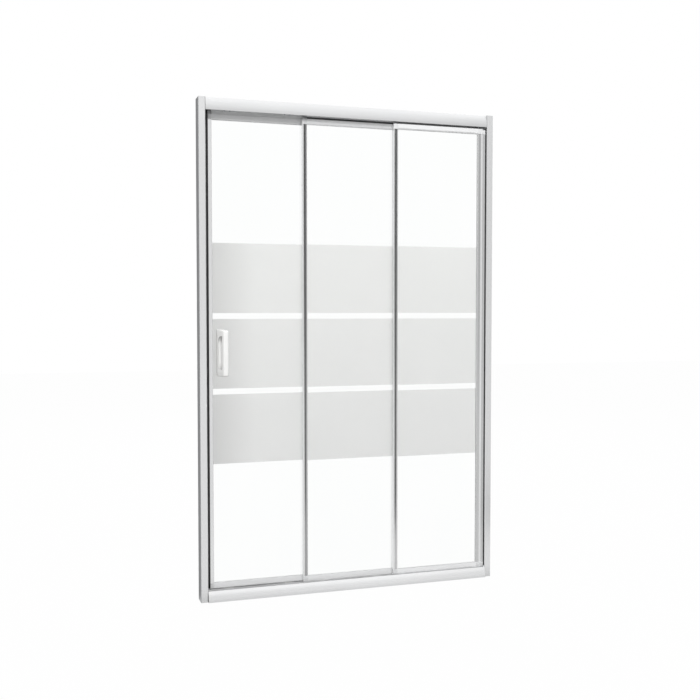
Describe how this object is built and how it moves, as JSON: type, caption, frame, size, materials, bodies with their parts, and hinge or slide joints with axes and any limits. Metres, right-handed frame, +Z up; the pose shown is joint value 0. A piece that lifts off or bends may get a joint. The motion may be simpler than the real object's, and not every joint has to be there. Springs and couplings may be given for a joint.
{
  "type": "sliding shower door",
  "caption": "Framed sliding shower door with stepped glass leaves that stack behind a fixed leaf, frosted bands, top rollers and a pull handle.",
  "frame": {"origin": "middle of the sill's base, at half the frame's depth", "axes": "+X along the door to the fixed leaf, +Y from the room into the shower, +Z up"},
  "size_m": [1.2, 0.0712, 1.89],
  "materials": {
    "aluminium": "satin anodised",
    "glass": "clear with etched bands",
    "glazing_vinyl": "soft, light grey",
    "pile": "brush pile",
    "wiper_rubber": "soft, grey",
    "black_rubber": "matte",
    "magnet_rubber": "matte",
    "white_plastic": "gloss",
    "corner_plastic": "satin",
    "nylon": "matte",
    "steel": "plain"
  },
  "bodies": {
    "frame": {"fixed_bottom_rail": "aluminium", "fixed_bracket_screws": "steel", "fixed_brackets": "steel", "fixed_corner_blocks": "corner_plastic", "fixed_feet": "nylon", "fixed_glass": "glass", "fixed_glazing_seal": "glazing_vinyl", "fixed_left_stile": "aluminium", "fixed_pile_strip": "pile", "fixed_right_stile": "aluminium", "fixed_side_seal": "black_rubber", "fixed_top_brush": "pile", "fixed_top_rail": "aluminium", "frame_screws": "steel", "header_rail": "aluminium", "jamb_caps": "corner_plastic", "jamb_left": "aluminium", "jamb_right": "aluminium", "jamb_screws": "steel", "sill_rail": "aluminium", "sill_wiper": "wiper_rubber", "track_buffers": "black_rubber", "wall_profile_left": "aluminium", "wall_profile_right": "aluminium"},
    "middle_leaf": {"middle_axles": "steel", "middle_bottom_rail": "aluminium", "middle_corner_blocks": "corner_plastic", "middle_glass": "glass", "middle_glazing_seal": "glazing_vinyl", "middle_guide_shoes": "nylon", "middle_hanger_screws": "steel", "middle_hangers": "steel", "middle_left_stile": "aluminium", "middle_pile_strip": "pile", "middle_right_stile": "aluminium", "middle_top_brush": "pile", "middle_top_rail": "aluminium"},
    "closing_leaf": {"closing_axles": "steel", "closing_bottom_rail": "aluminium", "closing_corner_blocks": "corner_plastic", "closing_edge_seal": "black_rubber", "closing_glass": "glass", "closing_glazing_seal": "glazing_vinyl", "closing_guide_shoes": "nylon", "closing_hanger_screws": "steel", "closing_hangers": "steel", "closing_left_stile": "aluminium", "closing_magnet": "magnet_rubber", "closing_right_stile": "aluminium", "closing_top_rail": "aluminium", "door_handle": "white_plastic", "handle_bushes": "nylon", "handle_screws": "steel", "inner_pull": "white_plastic"},
    "closing_roller_a": {"closing_roller_a": "nylon"},
    "closing_roller_b": {"closing_roller_b": "nylon"},
    "middle_roller_a": {"middle_roller_a": "nylon"},
    "middle_roller_b": {"middle_roller_b": "nylon"}
  },
  "joints": [
    {"name": "middle_slide", "type": "slide", "parent": "frame", "child": "middle_leaf", "axis": [1, 0, 0], "range_m": [0, 0.37]},
    {"name": "closing_slide", "type": "slide", "parent": "middle_leaf", "child": "closing_leaf", "axis": [1, 0, 0], "range_m": [0, 0.278]},
    {"name": "middle_roller_a_spin", "type": "hinge", "parent": "middle_leaf", "child": "middle_roller_a", "pos_m": [-0.118, -0.0015, 1.87185], "axis": [0, 1, 0], "range_deg": [0, 2360]},
    {"name": "middle_roller_b_spin", "type": "hinge", "parent": "middle_leaf", "child": "middle_roller_b", "pos_m": [0.1165, -0.0015, 1.87185], "axis": [0, 1, 0], "range_deg": [0, 2360]},
    {"name": "closing_roller_a_spin", "type": "hinge", "parent": "closing_leaf", "child": "closing_roller_a", "pos_m": [-0.485, 0.0155, 1.87185], "axis": [0, 1, 0], "range_deg": [0, 1775]},
    {"name": "closing_roller_b_spin", "type": "hinge", "parent": "closing_leaf", "child": "closing_roller_b", "pos_m": [-0.252, 0.0155, 1.87185], "axis": [0, 1, 0], "range_deg": [0, 1775]}
  ],
  "couplings": [
    {"joint": "middle_roller_a_spin", "follows": "middle_slide", "rad_per_m": 111.11},
    {"joint": "middle_roller_b_spin", "follows": "middle_slide", "rad_per_m": 111.11},
    {"joint": "closing_roller_a_spin", "follows": "closing_slide", "rad_per_m": 111.11},
    {"joint": "closing_roller_b_spin", "follows": "closing_slide", "rad_per_m": 111.11}
  ]
}
